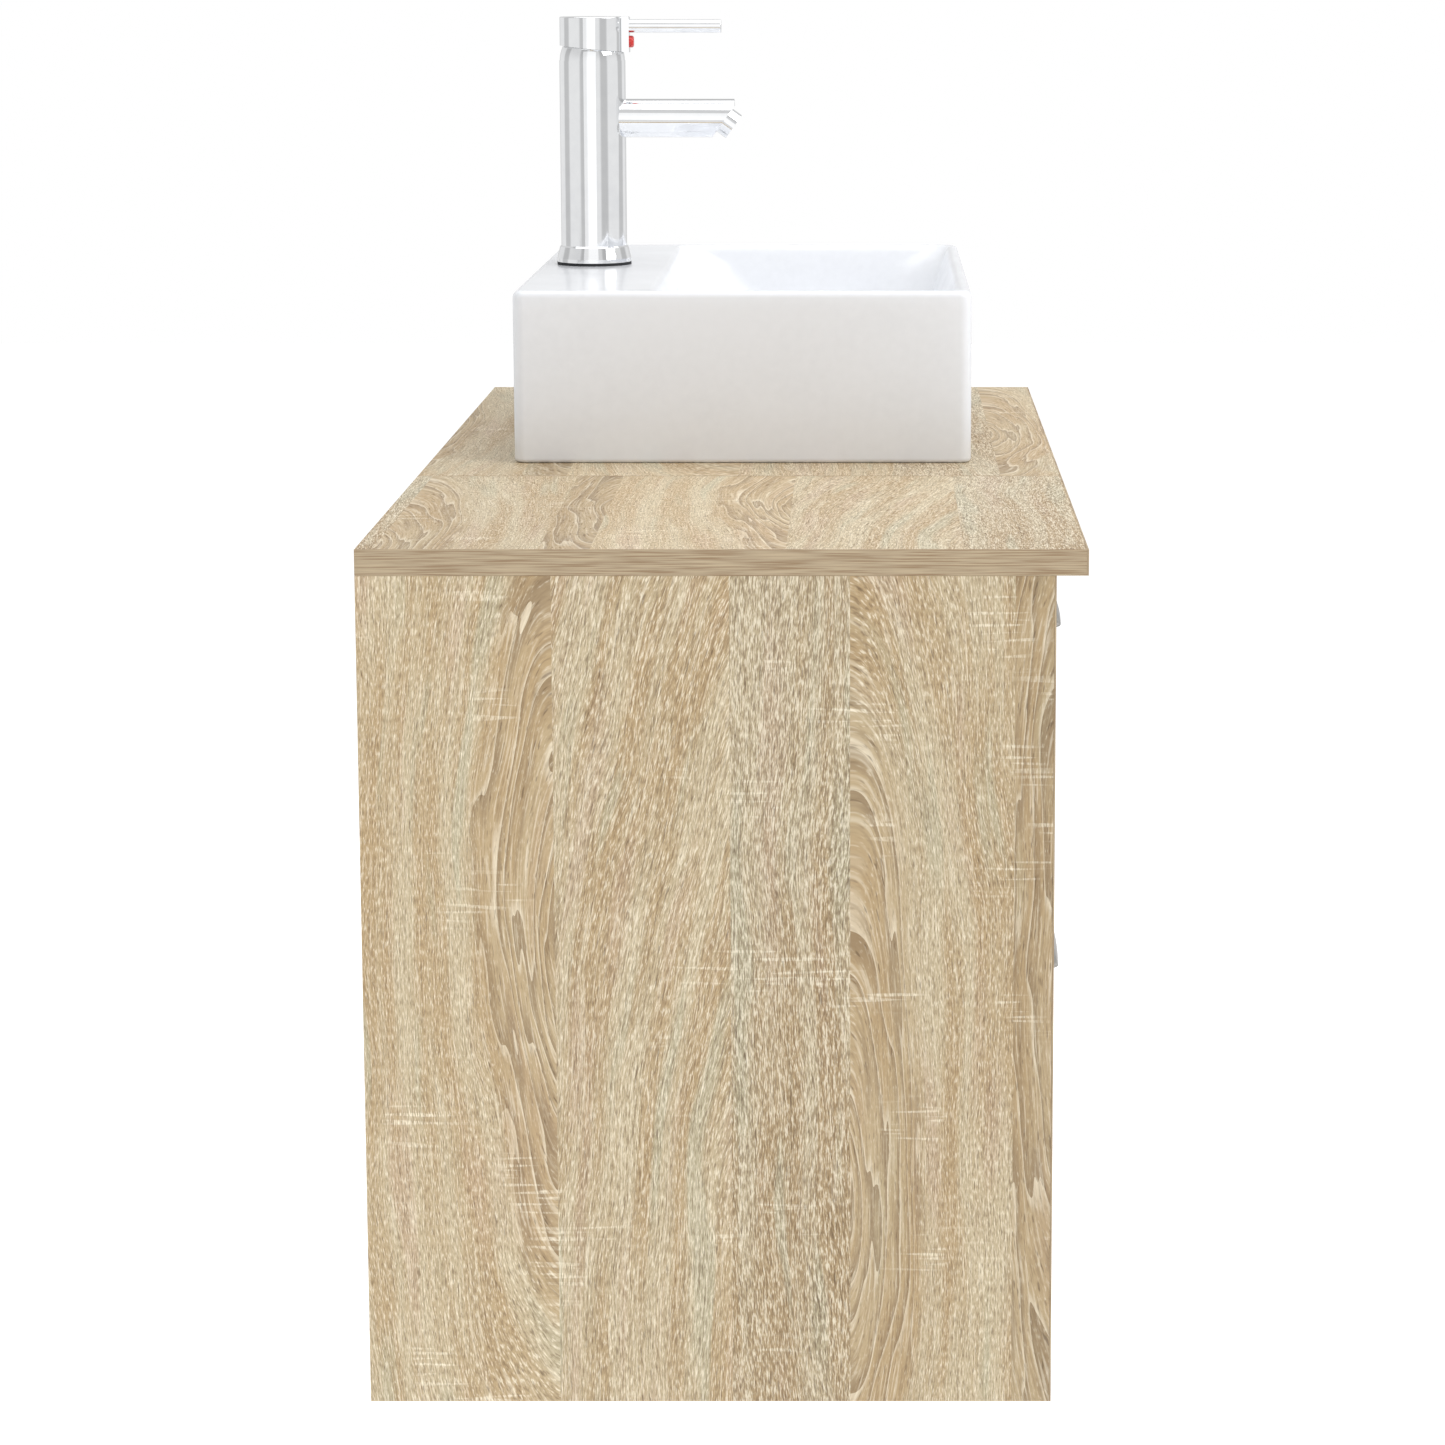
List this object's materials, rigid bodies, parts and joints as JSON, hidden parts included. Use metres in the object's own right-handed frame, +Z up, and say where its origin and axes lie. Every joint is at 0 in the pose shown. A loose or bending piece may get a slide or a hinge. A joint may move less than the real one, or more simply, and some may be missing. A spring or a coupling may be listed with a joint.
{
  "type": "vessel sink on vanity",
  "caption": "Wall-hung vanity with an open shelf unit, drawers on roller runners, a rectangular vessel basin and a single-lever mixer tap.",
  "frame": {"origin": "on the wall plane at mid length, at the height of the wall screws", "axes": "+X along the length towards the drawer end, +Y into the wall, so that the front faces -Y, and +Z up"},
  "size_m": [0.8, 0.4237, 0.787],
  "materials": {
    "oak_laminate": "melamine-faced chipboard with a pale sawn-oak decor, matt with an embossed grain",
    "hardboard": "thin fibreboard, pale decor face",
    "drawer_board": "melamine-faced chipboard in the same pale oak decor, plain",
    "sink_ceramic": "white gloss glaze",
    "polished_chrome": "polished plating",
    "black_rubber": "moulded, matt",
    "cartridge_plastic": "moulded",
    "raw_brass": "turned",
    "zinc_steel": "zinc plated",
    "hot_red": "moulded, gloss",
    "trap_plastic": "moulded white, satin",
    "satin_nickel": "satin plating",
    "coated_steel": "white powder coat on pressed sheet",
    "nylon": "moulded"
  },
  "bodies": {
    "cabinet": {"basin": "sink_ceramic", "cabinet_runners": "coated_steel", "cam_fittings": "zinc_steel", "counter_screws": "zinc_steel", "overflow_ring": "polished_chrome", "side_back_sheet": "hardboard", "side_bottom_board": "oak_laminate", "side_counter": "oak_laminate", "side_end_panel": "oak_laminate", "side_front_rail": "oak_laminate", "side_inner_panel": "oak_laminate", "side_shelf": "oak_laminate", "side_shelf_pins": "zinc_steel", "side_wall_rail": "oak_laminate", "sink_bottom_board": "oak_laminate", "sink_counter": "oak_laminate", "sink_front_rail": "oak_laminate", "sink_left_panel": "oak_laminate", "sink_right_panel": "oak_laminate", "sink_wall_rails": "oak_laminate", "tap_aerator": "polished_chrome", "tap_body": "polished_chrome", "tap_cartridge": "cartridge_plastic", "tap_cartridge_nut": "raw_brass", "tap_dome": "polished_chrome", "tap_fixing": "zinc_steel", "tap_gasket": "black_rubber", "trap_cup": "trap_plastic", "trap_head": "trap_plastic", "trap_nuts": "trap_plastic", "trap_outlet_pipe": "trap_plastic", "trap_tailpiece": "trap_plastic", "unit_connectors": "zinc_steel", "wall_plates": "zinc_steel", "waste_body": "polished_chrome", "waste_gasket": "black_rubber", "waste_nut": "raw_brass"},
    "upper_drawer": {"upper_drawer_boards": "drawer_board", "upper_drawer_bottom": "hardboard", "upper_drawer_front": "oak_laminate", "upper_drawer_handle": "satin_nickel", "upper_drawer_handle_screws": "zinc_steel", "upper_drawer_runners": "coated_steel"},
    "lower_drawer": {"lower_drawer_boards": "drawer_board", "lower_drawer_bottom": "hardboard", "lower_drawer_front": "oak_laminate", "lower_drawer_handle": "satin_nickel", "lower_drawer_handle_screws": "zinc_steel", "lower_drawer_runners": "coated_steel"},
    "upper_front_rollers": {"upper_drawer_front_rollers": "nylon"},
    "upper_rear_rollers": {"upper_drawer_rear_rollers": "nylon"},
    "lower_front_rollers": {"lower_drawer_front_rollers": "nylon"},
    "lower_rear_rollers": {"lower_drawer_rear_rollers": "nylon"},
    "mixer_carrier": {"tap_carrier": "cartridge_plastic"},
    "mixer_lever": {"tap_spindle": "zinc_steel", "tap_head": "polished_chrome", "tap_lever": "polished_chrome", "tap_indicator": "hot_red"},
    "plug": {"waste_plug": "polished_chrome"}
  },
  "joints": [
    {"name": "upper_drawer_slide", "type": "slide", "parent": "cabinet", "child": "upper_drawer", "axis": [0, -1, 0], "range_m": [0, 0.27]},
    {"name": "lower_drawer_slide", "type": "slide", "parent": "cabinet", "child": "lower_drawer", "axis": [0, -1, 0], "range_m": [0, 0.27]},
    {"name": "upper_front_roller_spin", "type": "hinge", "parent": "cabinet", "child": "upper_front_rollers", "pos_m": [0.15, -0.364, -0.1615], "axis": [1, 0, 0], "range_deg": [0, 1480]},
    {"name": "upper_rear_roller_spin", "type": "hinge", "parent": "upper_drawer", "child": "upper_rear_rollers", "pos_m": [0.15, -0.042, -0.1615], "axis": [1, 0, 0], "range_deg": [0, 1480]},
    {"name": "lower_front_roller_spin", "type": "hinge", "parent": "cabinet", "child": "lower_front_rollers", "pos_m": [0.15, -0.364, -0.4045], "axis": [1, 0, 0], "range_deg": [0, 1480]},
    {"name": "lower_rear_roller_spin", "type": "hinge", "parent": "lower_drawer", "child": "lower_rear_rollers", "pos_m": [0.15, -0.042, -0.4045], "axis": [1, 0, 0], "range_deg": [0, 1480]},
    {"name": "tap_mix", "type": "hinge", "parent": "cabinet", "child": "mixer_carrier", "pos_m": [0.183, -0.094, 0.3215], "axis": [0, 0, 1], "range_deg": [-45, 45]},
    {"name": "tap_lift", "type": "hinge", "parent": "mixer_carrier", "child": "mixer_lever", "pos_m": [0.183, -0.094, 0.3215], "axis": [-1, 0, 0], "range_deg": [0, 20]},
    {"name": "plug_push", "type": "slide", "parent": "cabinet", "child": "plug", "axis": [0, 0, -1], "range_m": [0, 0.008]}
  ],
  "couplings": [
    {"joint": "upper_front_roller_spin", "follows": "upper_drawer_slide", "rad_per_m": 95.238},
    {"joint": "upper_rear_roller_spin", "follows": "upper_drawer_slide", "rad_per_m": 95.238},
    {"joint": "lower_front_roller_spin", "follows": "lower_drawer_slide", "rad_per_m": 95.238},
    {"joint": "lower_rear_roller_spin", "follows": "lower_drawer_slide", "rad_per_m": 95.238}
  ]
}
